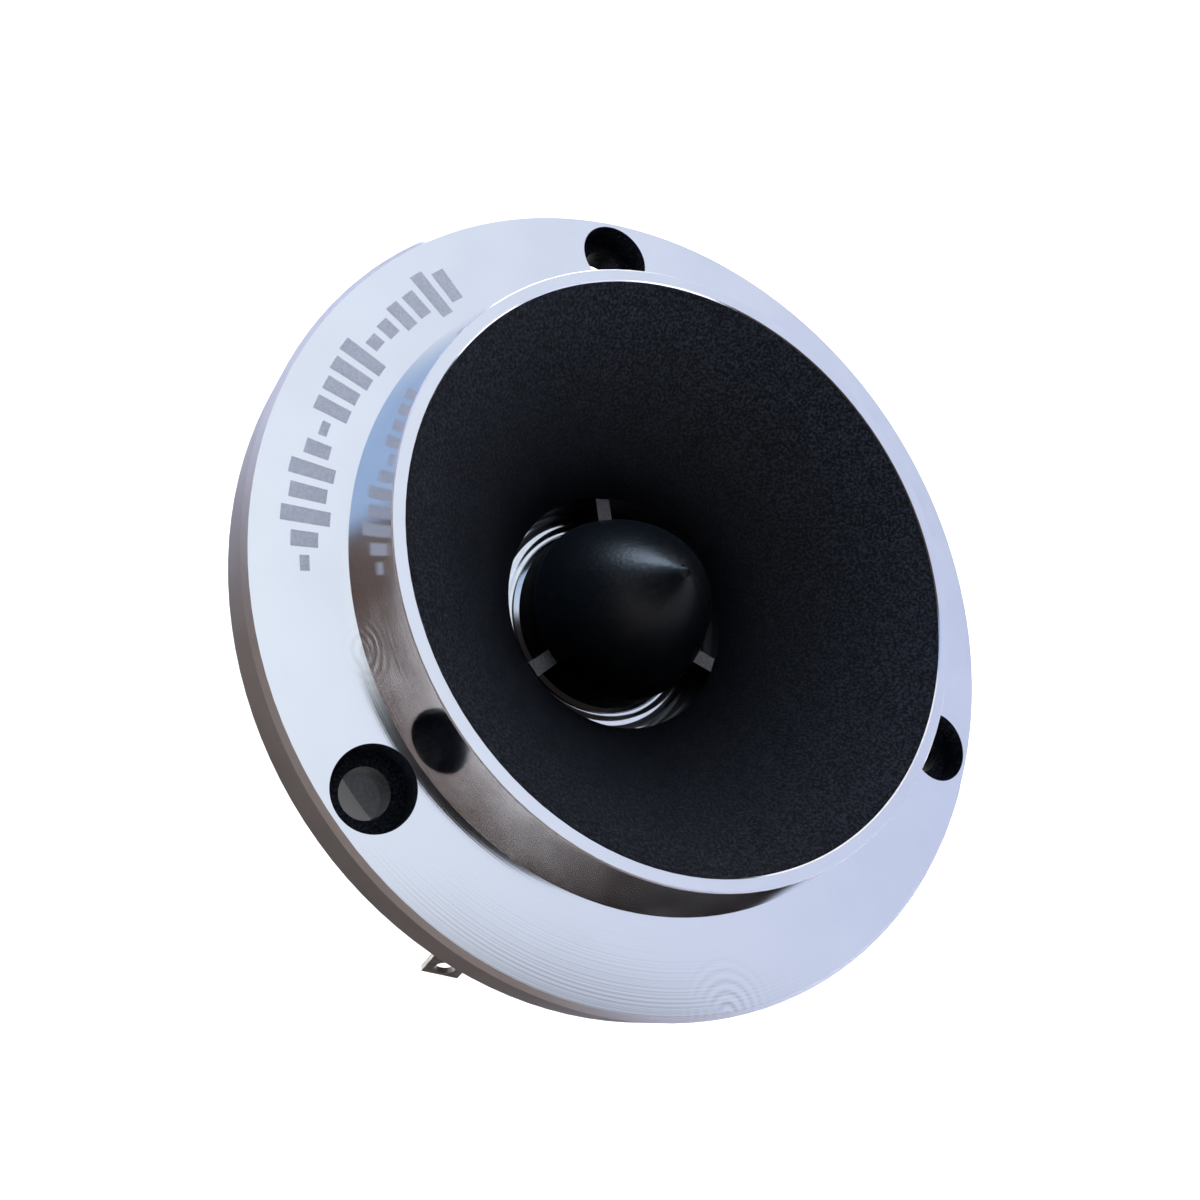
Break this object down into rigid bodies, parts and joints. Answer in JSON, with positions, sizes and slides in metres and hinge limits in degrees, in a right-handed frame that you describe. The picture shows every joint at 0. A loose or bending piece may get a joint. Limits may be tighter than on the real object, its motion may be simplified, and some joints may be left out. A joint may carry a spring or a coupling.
{
  "type": "car tweeter",
  "caption": "Round bullet tweeter: a turned metal flange with a short black-lined horn, a pointed bullet in its throat, and a ring-magnet motor under a black rear can.",
  "frame": {"origin": "centre of the flange's rear mounting face, on the horn's axis", "axes": "+Z out of the horn's mouth, +Y towards the mounting hole at twelve o'clock, +X to its right seen from the front"},
  "size_m": [0.1, 0.1, 0.0525],
  "materials": {
    "aluminium_body": "turned and polished, with a black powder coat inside the flare",
    "black_satin": "satin black",
    "grey_nylon": "matt grey",
    "zinc_steel": "zinc plated",
    "gasket_foam": "closed-cell foam",
    "diaphragm_metal": "bright rolled foil",
    "copper_wire": "bare and enamelled copper",
    "black_plastic": "matt, finely grained",
    "tinned_brass": "tinned",
    "felt": "pressed felt",
    "motor_steel": "turned, clear zinc",
    "ferrite": "sintered ferrite",
    "brass": "plain brass",
    "phenolic_board": "brown phenolic paper board",
    "red_insulation": "PVC insulation",
    "black_insulation": "PVC insulation"
  },
  "bodies": {
    "root": {"front_horn": "aluminium_body", "bullet": "black_satin", "bullet_spider": "grey_nylon", "bullet_screw": "zinc_steel", "throat_gasket": "gasket_foam", "diaphragm_surround": "diaphragm_metal", "diaphragm_frame": "black_plastic", "frame_contact_positive": "tinned_brass", "frame_contact_negative": "tinned_brass", "lead_out_positive": "tinned_brass", "lead_out_negative": "tinned_brass", "damping_pad": "felt", "pole_piece": "motor_steel", "pole_cap": "copper_wire", "top_plate": "motor_steel", "magnet": "ferrite", "back_plate": "motor_steel", "pole_bolt": "zinc_steel", "rear_cover": "black_plastic", "cover_screws": "zinc_steel", "horn_screws": "zinc_steel", "locating_pins": "brass", "terminal_board": "phenolic_board", "terminal_positive": "tinned_brass", "terminal_negative": "tinned_brass", "terminal_rivets": "brass", "terminal_board_screw": "zinc_steel", "hookup_wire_positive": "red_insulation", "hookup_wire_negative": "black_insulation"},
    "diaphragm": {"diaphragm_dome": "diaphragm_metal", "voice_coil_former": "diaphragm_metal", "voice_coil_winding": "copper_wire"}
  },
  "joints": [
    {"name": "diaphragm_travel", "type": "slide", "parent": "root", "child": "diaphragm", "axis": [0, 0, 1], "range_m": [-0.00025, 0.00025], "stiffness_N_per_m": 10000, "deforming": ["diaphragm_surround", "lead_out_positive", "lead_out_negative"]}
  ]
}
